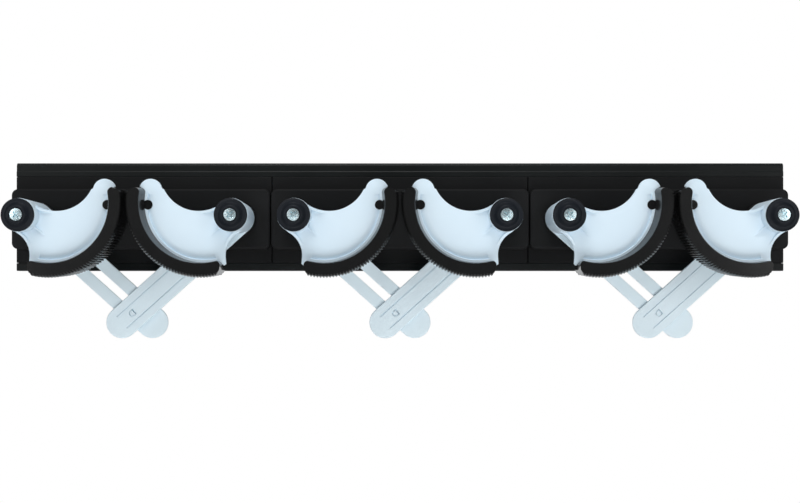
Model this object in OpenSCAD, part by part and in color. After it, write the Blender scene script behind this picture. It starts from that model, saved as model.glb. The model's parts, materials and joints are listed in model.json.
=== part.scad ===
// Tool hanger rail: a wall rail with three gravity holders side by side.
// Each holder has a base with two pivot posts, two mirrored jaws with rubber treads,
// two crossed arms, two knobs and two screws. The wall is the plane y = 0, the front
// looks along -Y, Z is up, and the six pivots lie at z = 0.
// The profiles are drawn as seen from the front and grow away from the wall.

/* [Rail] */
// Length of the rail, shared by the three holders
rail_length = 500; // [480:1:620]
// Thickness of the rail's back wall
rail_wall = 2; // [1.5:0.1:3]
// How far the rail's lips stand off the wall
rail_depth = 8; // [7.6:0.1:11]
// Height of the rail above the base's flange
top_lip = 9; // [7.5:0.1:14]
// Height of the rail below the base's flange
bottom_lip = 5; // [4.5:0.1:12]
// Radius of the bead along the top lip
bead_radius = 0.9; // [0.5:0.1:1.2]
// Height of the bead above the base's flange
bead_height = 2.9; // [2.2:0.1:4]
// Radius of the wall screw holes
wall_hole_radius = 2.75; // [2:0.05:3.5]
// Distance of the wall screw holes from the middle of a holder
wall_hole_x = 20; // [18:0.5:24]

/* [Base] */
// Half height of the base's flange
base_half = 28; // [26:0.1:32]
// Half height of the base's raised middle
body_half = 19; // [17:0.1:22]
// How far the raised middle stands off the flange
body_rise = 11.2; // [5:0.1:14]
// How far the flange stands off the rail's lips
flange_proud = 0.8; // [0.3:0.1:1.6]
// Wall thickness of the hollow base
base_wall = 2; // [1.5:0.1:2.8]
// Thickness of the tongues that slide in the rail
tongue_thick = 2.4; // [1.8:0.1:2.8]
// How far the tongues reach behind the rail's lips
tongue_reach = 2.7; // [1.5:0.1:3.2]
// Chamfer round the raised middle
body_chamfer = 2; // [0.5:0.1:3]
// Corner radius of the raised middle
body_corner = 4; // [2:0.1:8]
// Radius of the holes that let the wall screws' heads through the front
access_radius = 6; // [5:0.1:8]

/* [Posts] */
// Radius of the pivot posts
post_radius = 6; // [5.6:0.05:6.4]
// Radius of the collar between the base and the arm
collar_radius = 10; // [9.6:0.1:11]
// Length of the collar behind the back arm
collar_length = 6.7; // [4:0.1:14]

/* [Jaw] */
// Radius of the jaw's rim, which the tread lies on
rim_radius = 36.9; // [35:0.1:39]
// Distance of the rim's centre from the pivot, towards the other jaw
rim_x = 17.2; // [16:0.1:19]
// Height of the rim's centre above the pivot
rim_z = 7.9; // [7:0.1:9]
// Thickness of the jaw's plate
plate_thick = 2; // [1.4:0.1:3]
// Thickness of the wall behind the rim
rim_wall = 2; // [1.4:0.1:2.8]
// Distance from the arms to the front of the jaw's plate
jaw_reach = 27; // [22:0.1:34]
// How far the rim's wall reaches back from the front of the plate
rim_reach = 14; // [10:0.1:22.5]
// How far the rim stands off the plate
rim_proud = 0.8; // [0.3:0.1:1.5]
// Radius of the hollow curve of the top edge
top_radius = 23.6; // [22:0.1:25]
// Radius of the round head
head_radius = 7; // [6:0.1:8]
// Radius of the hollow curve of the outer lower edge
low_radius = 15.9; // [15:0.1:17]
// Radius of the barrel at its front
barrel_radius = 10.3; // [9.8:0.1:12]
// Radius of the barrel at its back
barrel_back_radius = 10; // [9.2:0.1:10.6]
// How far the barrel stands off the plate
barrel_proud = 8.5; // [6:0.1:12]
// How far the front fins reach from the pivot
fin_reach = 20.5; // [16:0.1:22]
// Thickness of the two fins along the edges
fin_thick = 1.4; // [1:0.1:2.4]
// Thickness of the middle fin
middle_fin_thick = 0.9; // [0.6:0.1:1.6]
// Radius of the inner corners between the rim and the ears
ear_round = 2.4; // [1.6:0.1:2.8]
// Thickness of the ribs behind the plate
rib_thick = 1.6; // [1:0.1:2.4]
// Depth of the ribs behind the plate
rib_depth = 12; // [8:0.1:15]

/* [Tread] */
// Thickness of the rubber tread
tread_thick = 8; // [6:0.1:9]
// Gap between the two treads at rest
tread_gap = 4.2; // [4.2:0.1:8]
// How far the tread stands off the front of the jaw's plate
tread_proud = 12.1; // [2:0.1:14]
// How far the tread reaches behind the jaw's rim
tread_behind = 0.5; // [0:0.1:2]
// Spacing of the teeth along the tread
tooth_pitch = 1.9; // [1.2:0.05:3]
// Height of the teeth
tooth_height = 0.75; // [0.4:0.05:1.2]
// Radius of the tread's holding lug
lug_radius = 2.9; // [2.4:0.05:3.2]
// Width of the lug's neck
neck_width = 4; // [3:0.1:4.6]
// Length of the lug
lug_length = 8; // [5:0.1:12]

/* [Arms] */
// Distance from the pivot to the centre of the arm's round end
arm_length = 99; // [94:0.1:100]
// Width of an arm
arm_width = 20; // [19:0.1:20.4]
// Thickness of an arm
arm_thick = 2.1; // [1.6:0.1:3]
// Slope of the arms below level at rest
arm_slope = 41.9; // [38:0.1:44]
// Width of the slot in the back arm
slot_width = 5.1; // [4:0.1:7]
// Start of the slot from the pivot
slot_start = 26; // [20:0.1:40]
// End of the slot from the pivot
slot_end = 93; // [85:0.1:93]
// Width of the band between the front arm's grooves
band_width = 9.5; // [7:0.1:11]
// Width of each groove in the front arm
groove_width = 0.6; // [0.3:0.05:1]
// Depth of each groove in the front arm
groove_depth = 0.5; // [0.2:0.05:0.9]
// Width of the snap hook in the front arm
hook_width = 4.2; // [3:0.1:5]
// Width of the slit round the snap hook
hook_slit = 0.7; // [0.4:0.05:1]
// Distance of the snap hook from the centre of the arm's round end
hook_back = 10; // [7:0.1:12]

/* [Knobs and screws] */
// Radius of a knob
knob_radius = 10.1; // [9.5:0.1:10.5]
// Thickness of a knob at its rim
knob_rim = 2; // [1.2:0.1:3]
// Height of a knob over its back face
knob_height = 5; // [4:0.1:6]
// Radius of the knob's middle boss
knob_boss_radius = 6.6; // [5.6:0.1:7.2]
// Radius of a screw's head
head_screw_radius = 3.7; // [3.2:0.05:4.2]
// Height of a screw's head
head_screw_height = 1.8; // [1.2:0.1:2.4]
// How far a screw's head lies below the front of its knob
screw_sunk = 0.2; // [0:0.1:0.6]
// Radius of a screw's shank
shank_radius = 1.9; // [1.5:0.05:2.1]
// Length of a screw's shank
shank_length = 18; // [12:0.1:24]
// Width of the cross recess's slots
recess_width = 0.9; // [0.6:0.05:1.2]
// Length of the cross recess's slots
recess_length = 4.6; // [3.6:0.1:5.4]
// Depth of the cross recess
recess_depth = 1.1; // [0.6:0.1:1.2]

/* [Motion and fits] */
// How far a jaw swings open from rest
swing = 75; // [60:1:78]
// Gap between pieces that turn past each other
turn_gap = 0.3; // [0.2:0.05:0.5]
// Radial gap between a post and its barrel
post_fit = 0.05; // [0.02:0.01:0.1]
// Gap between the base and the rail
rail_fit = 0.2; // [0.1:0.05:0.3]
// Radial gap between a post's foot and the base
foot_fit = 0.1; // [0.05:0.05:0.2]
// Gap between the rubber tread and the jaw
tread_fit = 0.1; // [0.05:0.05:0.2]
// Gap between a barrel's keyed end and its arm
key_fit = 0.1; // [0.05:0.05:0.2]
// Radial gap round a screw
screw_fit = 0.1; // [0.05:0.05:0.3]

/* [Hidden] */
units = 3;
sides = ["left", "right"];
$fn = 64;
// Small overlap of unions and cuts
eps = 0.01;

// Sizes along the rail
pitch = rail_length / units;
pivot_x = rim_x + rim_radius + tread_fit + tread_thick + tread_gap / 2;
base_length = pitch - 2 * rail_fit;

// Heights of the rail and the base
rail_chamfer = 0.6;
tongue_half = base_half + tongue_reach;
rail_top = base_half + rail_fit + top_lip;
rail_bottom = base_half + rail_fit + bottom_lip;

// Distances from the wall, from back to front
base_back = rail_wall + rail_fit;
lip_back = base_back + tongue_thick + rail_fit;
flange_front = rail_depth + flange_proud;
body_front = flange_front + body_rise;
back_arm_back = body_front + collar_length + turn_gap;
back_arm_front = back_arm_back + arm_thick;
front_arm_back = back_arm_front + turn_gap;
front_arm_front = front_arm_back + arm_thick;
plate_front = front_arm_front + jaw_reach;
plate_back = plate_front - plate_thick;
rim_front = plate_front + rim_proud;
rim_back = plate_front - rim_reach;
tread_front = plate_front + tread_proud;
tread_back = rim_back - tread_behind;
lug_front = plate_front + 0.3;
lug_back = lug_front - lug_length;
barrel_front = plate_front + barrel_proud;
knob_back = barrel_front + turn_gap;
knob_front = knob_back + knob_height;
screw_seat = knob_front - screw_sunk - head_screw_height;

// Outline of the jaw, seen from the front with the other jaw to the right
rim_centre = [rim_x, rim_z];
rim_low = -102.1;
rim_high = 9.3;
head_centre = rim_centre + (rim_radius - 3) * direction(13.1);
head_ear = rim_centre + (rim_radius + 4.2) * direction(14.4);
low_ear = rim_centre + (rim_radius + 3.3) * direction(-107.2);
top_centre = rim_centre + [3.7, 18.6];
low_centre = rim_centre + [-28.7, -32.1];
top_from = -124;
top_to = -26;
head_from = 170;
head_to = 22;
low_from = -4;
low_to = 62;
low_round = rim_centre + (rim_radius + ear_round) * direction(rim_low);
high_round = rim_centre + (rim_radius + ear_round) * direction(rim_high);
lug_turn = -2;
lug_centre = rim_centre + (rim_radius - 2.2) * direction(lug_turn);
rib_turns = [-12, -42, -74];

// Tread from end to end
tread_inner = rim_radius + tread_fit;
tread_outer = tread_inner + tread_thick;
tread_corner = ear_round - tread_fit;
low_nose = rim_centre + (tread_outer - 2.7) * direction(rim_low - 2.4);
high_nose = rim_centre + (tread_outer - 3) * direction(rim_high + 1.2);
tooth_step = tooth_pitch / tread_outer * 180 / PI;
teeth = floor((rim_high - rim_low) / tooth_step);
tooth_start = (rim_high + rim_low - teeth * tooth_step) / 2;

// Keyed end of a barrel
bore_radius = post_radius + post_fit;
key_radius = bore_radius + 2;
key_half = bore_radius + 1.4;

// Stop that ends the swing: a tab in the barrel and a notch in the post
stop_tab = 24;
stop_length = 2.6;
stop_depth = 1.3;
notch_spare = (turn_gap / post_radius) * 180 / PI;

function direction(angle) = [cos(angle), sin(angle)];

// Angle on a circle at which a line from an outside point touches it, on one side
function touch(point, centre, r, side) =
    let (reach = centre - point)
    atan2(reach[1], reach[0]) + 180 - side * (90 - asin(r / norm(reach)));

function arc(centre, r, from, to, steps) =
    [for (k = [0:steps]) centre + r * direction(from + (to - from) * k / steps)];

function box_with_corners(half_w, half_h, r) = concat(
    arc([half_w - r, half_h - r], r, 0, 90, 8),
    arc([r - half_w, half_h - r], r, 90, 180, 8),
    arc([r - half_w, r - half_h], r, 180, 270, 8),
    arc([half_w - r, r - half_h], r, 270, 360, 8));

// Places a drawing of the front view at a distance from the wall
module off_wall(distance) {
    translate([0, -distance, 0]) rotate([90, 0, 0]) children();
}

// Extrudes a drawing of the front view between two distances from the wall
module slab(from, to) {
    off_wall(from) linear_extrude(to - from) children();
}

// Extrudes a drawing of distance and height along the rail
module along_rail(length) {
    translate([-length / 2, 0, 0]) rotate([90, 0, 90])
        linear_extrude(length) mirror([1, 0]) children();
}

module pie(centre, r, from, to) {
    polygon(concat([centre], arc(centre, r, from, to, 16)));
}

module rail_section() {
    bead_z = base_half + rail_fit + bead_height;
    bead_back = rail_depth - bead_radius;
    shoulder = bead_z + bead_radius + rail_chamfer;
    polygon(concat(
        [[0, -rail_bottom], [rail_depth - rail_chamfer, -rail_bottom],
         [rail_depth, rail_chamfer - rail_bottom],
         [rail_depth, -base_half - rail_fit], [lip_back, -base_half - rail_fit],
         [lip_back, -tongue_half - rail_fit], [rail_wall, -tongue_half - rail_fit],
         [rail_wall, tongue_half + rail_fit], [lip_back, tongue_half + rail_fit],
         [lip_back, base_half + rail_fit], [bead_back, base_half + rail_fit]],
        arc([bead_back, bead_z], bead_radius, -90, 90, 10),
        [[bead_back, shoulder], [rail_depth, shoulder + rail_chamfer],
         [rail_depth, rail_top - rail_chamfer], [rail_depth - rail_chamfer, rail_top], [0, rail_top]]));
}

module rail() {
    color([0.11, 0.12, 0.13]) difference() {
        along_rail(rail_length) rail_section();
        for (i = [1:units], side = [-1, 1]) translate([unit_x(i) + side * wall_hole_x, 0, 0])
            off_wall(-eps) cylinder(h = rail_wall + 2 * eps, r = wall_hole_radius);
    }
}

module base_section() {
    polygon([
        [base_back, -tongue_half], [base_back + tongue_thick, -tongue_half],
        [base_back + tongue_thick, -base_half], [flange_front, -base_half],
        [flange_front, -body_half - 0.6], [body_front - body_chamfer, -body_half],
        [body_front, body_chamfer - body_half], [body_front, body_half - body_chamfer],
        [body_front - body_chamfer, body_half], [flange_front, body_half + 0.6],
        [flange_front, base_half], [base_back + tongue_thick, base_half],
        [base_back + tongue_thick, tongue_half], [base_back, tongue_half]]);
}

// Pivot post of a left-hand jaw, with a foot in the base and a collar behind the arm
module post(arm_back) {
    collar_front = arm_back - turn_gap;
    color([0.12, 0.125, 0.14]) difference() {
        union() {
            off_wall(base_back) cylinder(h = knob_back - base_back, r = post_radius);
            off_wall(body_front) cylinder(h = collar_front - body_front, r = collar_radius);
        }
        off_wall(knob_back - shank_length)
            cylinder(h = shank_length + eps, r = shank_radius + screw_fit);
        // Notch for the barrel's stop tab
        slab(knob_back - stop_length - 2 * turn_gap, knob_back + eps) difference() {
            pie([0, 0], 2 * post_radius, -stop_tab / 2 - notch_spare, stop_tab / 2 + notch_spare + swing);
            circle(r = post_radius - stop_depth - turn_gap);
        }
    }
}

module base() {
    color([0.12, 0.125, 0.14]) difference() {
        union() {
            difference() {
                along_rail(base_length) base_section();
                // Rounded, chamfered ends of the raised middle
                slab(flange_front, body_front + eps) difference() {
                    square([2 * pitch, 2 * pitch], center = true);
                    polygon(box_with_corners(base_length / 2 - 0.6, body_half + 1, body_corner));
                }
                // Hollow back
                slab(base_back - eps, body_front - base_wall) square(
                    [base_length - 2 * base_wall - 1.2, 2 * (body_half - base_wall)], center = true);
            }
            // Ribs across the hollow
            for (x = [-pivot_x, -pivot_x / 2, pivot_x / 2, pivot_x]) translate([x, 0, 0])
                slab(base_back, body_front - base_wall + eps)
                    square([base_wall, 2 * body_half - base_wall], center = true);
            for (x = [-wall_hole_x, wall_hole_x]) translate([x, 0, 0])
                slab(base_back, body_front - base_wall + eps) circle(r = access_radius + base_wall);
            for (x = [-pivot_x, pivot_x]) translate([x, 0, 0])
                slab(base_back, body_front - base_wall + eps) circle(r = post_radius + 1.5 * base_wall);
        }
        for (x = [-pivot_x, pivot_x]) translate([x, 0, 0])
            off_wall(0) cylinder(h = body_front + eps, r = post_radius + foot_fit);
        for (x = [-wall_hole_x, wall_hole_x]) translate([x, 0, 0]) {
            off_wall(0) cylinder(h = body_front + eps, r = wall_hole_radius);
            off_wall(base_back + 3) cylinder(h = body_front, r = access_radius);
        }
    }
}

module jaw_outline() {
    polygon(concat(
        arc(top_centre, top_radius, top_from, top_to, 28),
        arc(head_centre, head_radius, head_from, head_to, 18),
        [head_ear],
        arc(high_round, ear_round, touch(head_ear, high_round, ear_round, -1), rim_high + 180, 8),
        arc(rim_centre, rim_radius - rim_wall / 2, rim_high, rim_low, 48),
        arc(low_round, ear_round, rim_low + 180, touch(low_ear, low_round, ear_round, 1), 8),
        [low_ear],
        arc(low_centre, low_radius, low_from, low_to, 13),
        [barrel_radius * direction(-140), [0, 0]]));
}

// Two fins along the hollow edges of the outline and one between them
module fin_drawing() {
    intersection() {
        jaw_outline();
        union() {
            circle_at(top_centre, top_radius + fin_thick);
            circle_at(low_centre, low_radius + fin_thick);
            rotate(-arm_slope) translate([0, -middle_fin_thick / 2]) square([rim_radius, middle_fin_thick]);
        }
    }
}

module rim_drawing() {
    difference() {
        intersection() {
            circle_at(rim_centre, rim_radius);
            pie(rim_centre, 2 * rim_radius, rim_low - 0.5, rim_high + 0.5);
        }
        circle_at(rim_centre, rim_radius - rim_wall);
    }
}

module circle_at(centre, r) {
    translate(centre) circle(r = r, $fn = 128);
}

// Rib from the barrel to the rim's wall, at one angle round the rim's centre
module back_rib(angle) {
    foot = rim_centre + (rim_radius - rim_wall / 2) * direction(angle);
    slab(plate_back - rib_depth, plate_back + eps)
        rotate(atan2(foot[1], foot[0])) translate([barrel_back_radius - 1, -rib_thick / 2])
            square([norm(foot) - barrel_back_radius + 1, rib_thick]);
}

// Jaw with the other jaw to the right; its barrel starts at its arm
module jaw(arm_back) {
    arm_front = arm_back + arm_thick;
    color([0.92, 0.94, 0.98]) difference() {
        union() {
            slab(plate_back, plate_front) jaw_outline();
            slab(rim_back, rim_front) rim_drawing();
            off_wall(arm_front)
                cylinder(h = plate_front - arm_front, r1 = barrel_back_radius, r2 = barrel_radius);
            off_wall(plate_front - eps) cylinder(h = barrel_proud + eps, r = barrel_radius);
            // Three fins that slope from the front of the barrel down to the plate
            intersection() {
                off_wall(plate_front - eps)
                    cylinder(h = barrel_proud - 0.3, r1 = fin_reach, r2 = barrel_radius - 0.5);
                slab(plate_back + eps, barrel_front) fin_drawing();
            }
            for (angle = rib_turns) back_rib(angle);
            // Keyed end that fits into the arm
            slab(arm_back, arm_front + eps) rotate(-arm_slope) key_drawing(0);
        }
        off_wall(arm_back - eps) cylinder(h = barrel_front - arm_back + 2 * eps, r = bore_radius);
        // Notch for the tread's lug
        slab(lug_back - turn_gap, tread_front) translate(lug_centre) {
            circle(r = lug_radius + tread_fit);
            rotate(lug_turn) translate([0, -neck_width / 2 - tread_fit])
                square([rim_radius, neck_width + 2 * tread_fit]);
        }
    }
    // Tab that runs in the post's notch
    color([0.92, 0.94, 0.98]) slab(barrel_front - stop_length, barrel_front - turn_gap) intersection() {
        pie([0, 0], 2 * post_radius, -stop_tab / 2, stop_tab / 2);
        difference() {
            circle(r = bore_radius + 0.5);
            circle(r = post_radius - stop_depth);
        }
    }
}

module key_drawing(fit) {
    intersection() {
        circle(r = key_radius + fit);
        square([4 * key_radius, 2 * (key_half + fit)], center = true);
    }
}

module tread() {
    color([0.08, 0.08, 0.085]) union() {
        difference() {
            slab(tread_back, tread_front) polygon(concat(
                [rim_centre],
                arc(low_round, tread_corner, rim_low + 180, 180, 8),
                [low_nose],
                [for (k = [0:teeth - 1]) each [
                    rim_centre + (tread_outer - tooth_height) * direction(tooth_start + k * tooth_step),
                    rim_centre + tread_outer * direction(tooth_start + (k + 0.5) * tooth_step)]],
                [rim_centre + (tread_outer - tooth_height) * direction(tooth_start + teeth * tooth_step),
                 high_nose],
                arc(high_round, tread_corner, 60, rim_high + 180, 10)));
            slab(tread_back - eps, tread_front + eps) circle_at(rim_centre, tread_inner);
        }
        slab(lug_back, lug_front) translate(lug_centre) {
            circle(r = lug_radius);
            rotate(lug_turn) translate([0, -neck_width / 2])
                square([tread_inner - norm(lug_centre - rim_centre) + 1, neck_width]);
        }
    }
}

module arm_drawing() {
    circle(r = arm_width / 2);
    translate([arm_length, 0]) circle(r = arm_width / 2);
    translate([0, -arm_width / 2]) square([arm_length, arm_width]);
}

// Back arm: two bars with a slot between them
module back_arm() {
    color([0.84, 0.88, 0.92]) slab(back_arm_back, back_arm_front) rotate(-arm_slope) difference() {
        arm_drawing();
        key_drawing(key_fit);
        for (x = [slot_start, slot_end]) translate([x, 0]) circle(r = slot_width / 2);
        translate([slot_start, -slot_width / 2]) square([slot_end - slot_start, slot_width]);
    }
}

// Front arm: closed, with two grooves and a snap hook
module front_arm() {
    hook_x = arm_length - hook_back;
    color([0.86, 0.9, 0.94]) difference() {
        slab(front_arm_back, front_arm_front) rotate(-arm_slope) difference() {
            arm_drawing();
            key_drawing(key_fit);
            translate([hook_x, -hook_width / 2]) square([hook_slit, hook_width]);
        }
        slab(front_arm_front - groove_depth, front_arm_front + eps) rotate(-arm_slope) {
            for (side = [-1, 1]) translate([arm_width, side * band_width / 2 - groove_width / 2])
                square([arm_length - arm_width, groove_width]);
            translate([hook_x + hook_slit, 0]) intersection() {
                difference() {
                    circle(r = hook_width / 2);
                    circle(r = hook_width / 2 - hook_slit / 2);
                }
                translate([0, -hook_width]) square(2 * hook_width);
            }
        }
    }
}

module knob() {
    color([0.1, 0.105, 0.12]) off_wall(knob_back) rotate_extrude() polygon(concat(
        [[shank_radius + screw_fit, 0], [knob_radius - 0.6, 0], [knob_radius, 0.6],
         [knob_radius, knob_rim - 0.6]],
        arc([knob_radius - 0.8, knob_rim - 0.6], 0.8, 0, 120, 6),
        [[knob_boss_radius + 0.9, knob_rim - 0.7], [knob_boss_radius, knob_rim + 0.4],
         [knob_boss_radius - 0.5, knob_height - 1], [knob_boss_radius - 1.5, knob_height],
         [head_screw_radius + 0.5, knob_height], [head_screw_radius + 0.3, screw_seat - knob_back],
         [shank_radius + screw_fit, screw_seat - knob_back]]));
}

module screw() {
    color([0.78, 0.84, 0.88]) difference() {
        union() {
            off_wall(screw_seat - shank_length) cylinder(h = shank_length + eps, r = shank_radius);
            off_wall(screw_seat) rotate_extrude() polygon(concat(
                [[0, 0], [head_screw_radius, 0], [head_screw_radius, head_screw_height * 0.5]],
                [for (k = [1:5])
                    [head_screw_radius * cos(18 * k), head_screw_height * (0.5 + 0.5 * sin(18 * k))]]));
        }
        slab(screw_seat + head_screw_height - recess_depth, screw_seat + head_screw_height + eps)
            for (turn = [0, 90]) rotate(turn + 45) square([recess_length, recess_width], center = true);
    }
}

function unit_x(i) = (i - (units + 1) / 2) * pitch;

// Puts a left-hand piece at its pivot, or mirrors it to the right-hand one
module at_pivot(i, side) {
    translate([unit_x(i), 0, 0])
        mirror([side == "right" ? 1 : 0, 0, 0])
            translate([-pivot_x, 0, 0]) children();
}

rail();
for (i = [1:units]) {
    translate([unit_x(i), 0, 0]) base();
    at_pivot(i, "left") post(back_arm_back);
    at_pivot(i, "right") post(front_arm_back);
    at_pivot(i, "left") jaw(back_arm_back);
    at_pivot(i, "right") jaw(front_arm_back);
    at_pivot(i, "left") back_arm();
    at_pivot(i, "right") front_arm();
    for (side = sides) {
        at_pivot(i, side) tread();
        at_pivot(i, side) knob();
        at_pivot(i, side) screw();
    }
}
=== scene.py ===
import bpy
import json
import math
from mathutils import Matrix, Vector


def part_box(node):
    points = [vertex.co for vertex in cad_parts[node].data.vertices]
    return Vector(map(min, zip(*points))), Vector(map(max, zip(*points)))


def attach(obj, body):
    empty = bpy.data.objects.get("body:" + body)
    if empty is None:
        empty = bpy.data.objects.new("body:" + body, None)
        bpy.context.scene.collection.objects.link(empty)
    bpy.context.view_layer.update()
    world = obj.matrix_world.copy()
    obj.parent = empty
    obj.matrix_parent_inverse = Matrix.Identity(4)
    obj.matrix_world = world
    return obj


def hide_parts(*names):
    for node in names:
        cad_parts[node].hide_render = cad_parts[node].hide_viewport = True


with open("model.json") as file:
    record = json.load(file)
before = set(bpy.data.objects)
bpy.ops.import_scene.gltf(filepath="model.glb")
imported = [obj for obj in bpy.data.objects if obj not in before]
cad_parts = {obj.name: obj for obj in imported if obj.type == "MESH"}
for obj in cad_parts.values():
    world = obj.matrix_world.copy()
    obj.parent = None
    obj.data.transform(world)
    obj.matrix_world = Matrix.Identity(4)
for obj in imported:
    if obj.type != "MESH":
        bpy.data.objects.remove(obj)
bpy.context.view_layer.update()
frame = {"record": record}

# A wall rail with three gravity holders. The wall is y = 0, the front looks along -Y and the
# six pivots lie at z = 0. Sizes in the dictionaries are millimetres and degrees. Those of the
# finishes, floor, room, lamps and camera are metres.

mm = 0.001
arcStep = 4        # degrees of arc between two points
roundStep = 5      # degrees between the rings of a turned piece
mergeGap = 0.002   # points closer than this become one
overcut = 1        # how far a cutter reaches past what it cuts
turnGap = 0.3      # between pieces that turn past each other
armSlope = 41.9    # degrees that an arm lies below level at rest

joints = {joint["name"]: joint["pos_m"] for joint in frame["record"]["behaviour"]["joints"]}
pivotX = -joints["jaw_left_2_pivot"][0] / mm
pitch = (joints["jaw_left_3_pivot"][0] - joints["jaw_left_2_pivot"][0]) / mm
units = (1, 2, 3)
middleUnit = 2


def depthsOf(node):
    low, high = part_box(node)
    return -high.y / mm, -low.y / mm       # back and front, off the wall


def lengthOf(node):
    low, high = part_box(node)
    return (high.x - low.x) / mm


# The ways a drawing can lie: where its first and second numbers point
frontView = (Vector((1, 0, 0)), Vector((0, 0, 1)))
sideView = (Vector((0, -1, 0)), Vector((0, 0, 1)))


def turnedView(degrees):
    angle = math.radians(degrees)
    return Vector((math.cos(angle), 0, math.sin(angle))), Vector((-math.sin(angle), 0, math.cos(angle)))


def around(centre, radius, degrees):
    angle = math.radians(degrees)
    return Vector((centre[0] + radius * math.cos(angle), centre[1] + radius * math.sin(angle)))


def touchTurn(point, centre, radius, side):
    # Where on a circle a line from an outside point touches it
    reach = Vector(centre) - Vector(point)
    slope = math.degrees(math.atan2(reach.y, reach.x))
    return slope + 180 - side * (90 - math.degrees(math.asin(radius / reach.length)))


def sweep(first, last):
    return (last - first + 180) % 360 - 180


def place(x, depth, z):
    return Vector((x * mm, -depth * mm, z * mm))


def clearSelection():
    if bpy.context.object and bpy.context.object.mode != "OBJECT":
        bpy.ops.object.mode_set(mode="OBJECT")
    bpy.ops.object.select_all(action="DESELECT")


def pick(piece):
    clearSelection()
    piece.select_set(True)
    bpy.context.view_layer.objects.active = piece


def drawOutline(name, view, origin, start, moves):
    # Walks one point round an outline: a move is ("line", to) or ("arc", centre, degrees)
    across, up = view

    def spot(point):
        return origin + (across * point[0] + up * point[1]) * mm

    clearSelection()
    bpy.ops.mesh.primitive_plane_add(size=mm, location=spot(start))
    piece = bpy.context.object
    piece.name = name
    bpy.ops.object.transform_apply(location=True, rotation=True, scale=True)
    bpy.ops.object.mode_set(mode="EDIT")
    bpy.context.tool_settings.mesh_select_mode = (True, False, False)
    bpy.ops.mesh.select_all(action="SELECT")
    bpy.ops.mesh.merge(type="CENTER")
    here = Vector(start)
    for move in moves:
        if move[0] == "line":
            there = Vector(move[1])
            bpy.ops.mesh.extrude_vertices_move(TRANSFORM_OT_translate={"value": spot(there) - spot(here)})
        else:
            centre, degrees = Vector(move[1]), move[2]
            bpy.ops.mesh.spin(steps=max(2, round(abs(degrees) / arcStep)), angle=math.radians(degrees),
                              center=spot(centre), axis=up.cross(across))
            reach = here - centre
            there = around(centre, reach.length, math.degrees(math.atan2(reach.y, reach.x)) + degrees)
        here = there
    bpy.ops.mesh.select_all(action="SELECT")
    bpy.ops.mesh.remove_doubles(threshold=mergeGap * mm)
    return piece


def closeSolid(piece):
    bpy.ops.mesh.select_all(action="SELECT")
    bpy.ops.mesh.remove_doubles(threshold=mergeGap * mm)
    bpy.ops.mesh.normals_make_consistent(inside=False)
    bpy.ops.object.mode_set(mode="OBJECT")
    return piece


def slab(name, view, origin, start, moves, thickness):
    # An outline filled and pulled along its own normal, towards the viewer
    piece = drawOutline(name, view, origin, start, moves)
    bpy.ops.mesh.edge_face_add()
    bpy.ops.mesh.extrude_region_move(
        TRANSFORM_OT_translate={"value": view[0].cross(view[1]) * thickness * mm})
    return closeSolid(piece)


def turned(name, origin, start, moves, degrees=360, startTurn=0):
    # A closed profile of radius and depth, spun round an axis along Y
    view = (turnedView(startTurn)[0], Vector((0, -1, 0)))
    piece = drawOutline(name, view, origin, start, moves)
    if degrees < 360:
        bpy.ops.mesh.edge_face_add()
    bpy.ops.mesh.spin(steps=max(3, round(degrees / roundStep)), angle=math.radians(degrees),
                      center=origin, axis=(0, 1, 0))
    return closeSolid(piece)


def soften(piece, width, segments=3, angle=35):
    pick(piece)
    bpy.ops.object.modifier_add(type="BEVEL")
    bevel = piece.modifiers[-1]
    bevel.width = width * mm
    bevel.segments = segments
    bevel.limit_method = "ANGLE"
    bevel.angle_limit = math.radians(angle)
    bpy.ops.object.modifier_apply(modifier=bevel.name)
    return piece


def combine(piece, other, operation):
    pick(piece)
    bpy.ops.object.modifier_add(type="BOOLEAN")
    boolean = piece.modifiers[-1]
    boolean.operation = operation
    boolean.solver = "EXACT"
    boolean.object = other
    bpy.ops.object.modifier_apply(modifier=boolean.name)
    bpy.data.objects.remove(other)
    return piece


def copyPiece(model, name, shift, mirrored=False):
    pick(model)
    bpy.ops.object.duplicate(linked=False)
    piece = bpy.context.object
    piece.name = name
    if mirrored:
        bpy.ops.transform.resize(value=(-1, 1, 1), center_override=(0, 0, 0))
    bpy.ops.transform.translate(value=(shift * mm, 0, 0))
    bpy.ops.object.transform_apply(location=True, rotation=True, scale=True)
    if mirrored:
        bpy.ops.object.mode_set(mode="EDIT")
        bpy.ops.mesh.select_all(action="SELECT")
        bpy.ops.mesh.normals_make_consistent(inside=False)
        bpy.ops.object.mode_set(mode="OBJECT")
    return piece


def finishPiece(piece, material, body, node, angle=40):
    pick(piece)
    bpy.ops.object.shade_smooth_by_angle(angle=math.radians(angle))
    bpy.ops.object.modifier_add(type="WEIGHTED_NORMAL")
    weighted = piece.modifiers[-1]
    weighted.keep_sharp = True
    bpy.ops.object.modifier_apply(modifier=weighted.name)
    piece.data.materials.clear()
    piece.data.materials.append(material)
    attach(piece, body)
    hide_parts(node)


def unitShift(unit):
    return (unit - middleUnit) * pitch


def circleMoves(radius):
    return (radius, 0), [("arc", (0, 0), 360)]


def rectangle(low, high):
    return low, [("line", (high[0], low[1])), ("line", high), ("line", (low[0], high[1])), ("line", low)]


print("frame loaded")

# Effects that several finishes share

grainValues = {"grainSize": 900.0, "toneSize": 25.0, "fineDetail": 3.0, "slowDetail": 4.0}


def newGroup(name, inputs, outputs):
    group = bpy.data.node_groups.new(name, "ShaderNodeTree")
    for label, kind, value in inputs:
        socket = group.interface.new_socket(name=label, in_out="INPUT", socket_type=kind)
        socket.default_value = value
    for label, kind in outputs:
        group.interface.new_socket(name=label, in_out="OUTPUT", socket_type=kind)
    return group


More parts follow.
